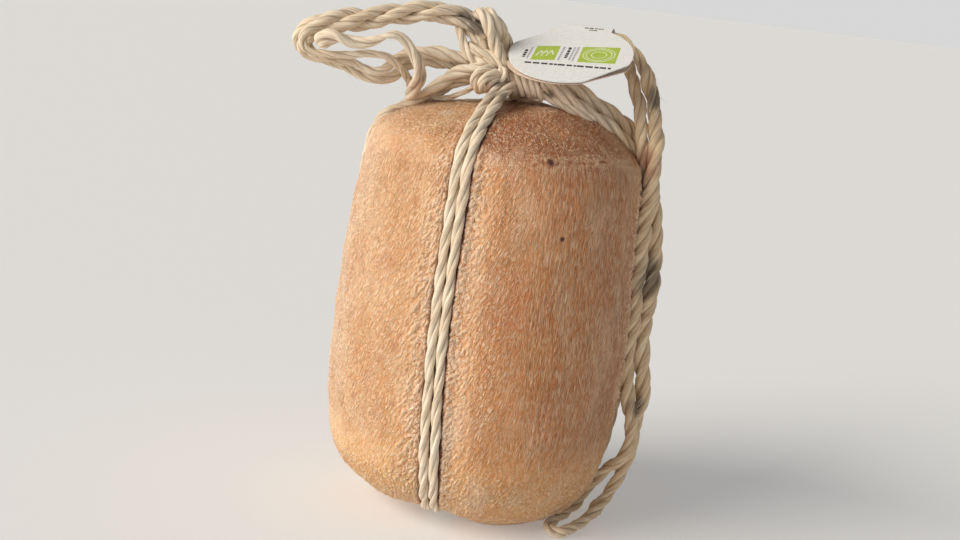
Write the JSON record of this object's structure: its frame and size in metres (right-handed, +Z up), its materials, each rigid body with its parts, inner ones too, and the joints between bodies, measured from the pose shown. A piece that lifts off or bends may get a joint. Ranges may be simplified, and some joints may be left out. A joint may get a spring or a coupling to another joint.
{
  "type": "corded provolone cheese",
  "caption": "Tall rounded whole cheese bound in paired twines that meet in a wrapped knot, with a hanging loop to one side, a slack twine down the other and a folded paper tag.",
  "frame": {"origin": "middle of the footprint of the cheese with its tight twines, on the surface that it stands on", "axes": "+Z up along the height of the cheese, -Y towards the side with the front pair of twines, -X towards the hanging loop"},
  "size_m": [0.1795, 0.1372, 0.2291],
  "materials": {
    "rind": "waxy, finely wrinkled rind, satin",
    "twine": "twisted natural fibre, matte, with grey and reddish stains",
    "paper": "smooth printed card, matte"
  },
  "bodies": {
    "root": {"cheese": "rind", "twine_across_1": "twine", "twine_across_2": "twine", "twine_fore_aft_1": "twine", "twine_fore_aft_2": "twine", "knot": "twine", "loop_strand_1": "twine", "loop_strand_2": "twine", "loop_strand_3": "twine", "tail": "twine", "slack_loop": "twine", "tag": "paper"}
  },
  "joints": []
}
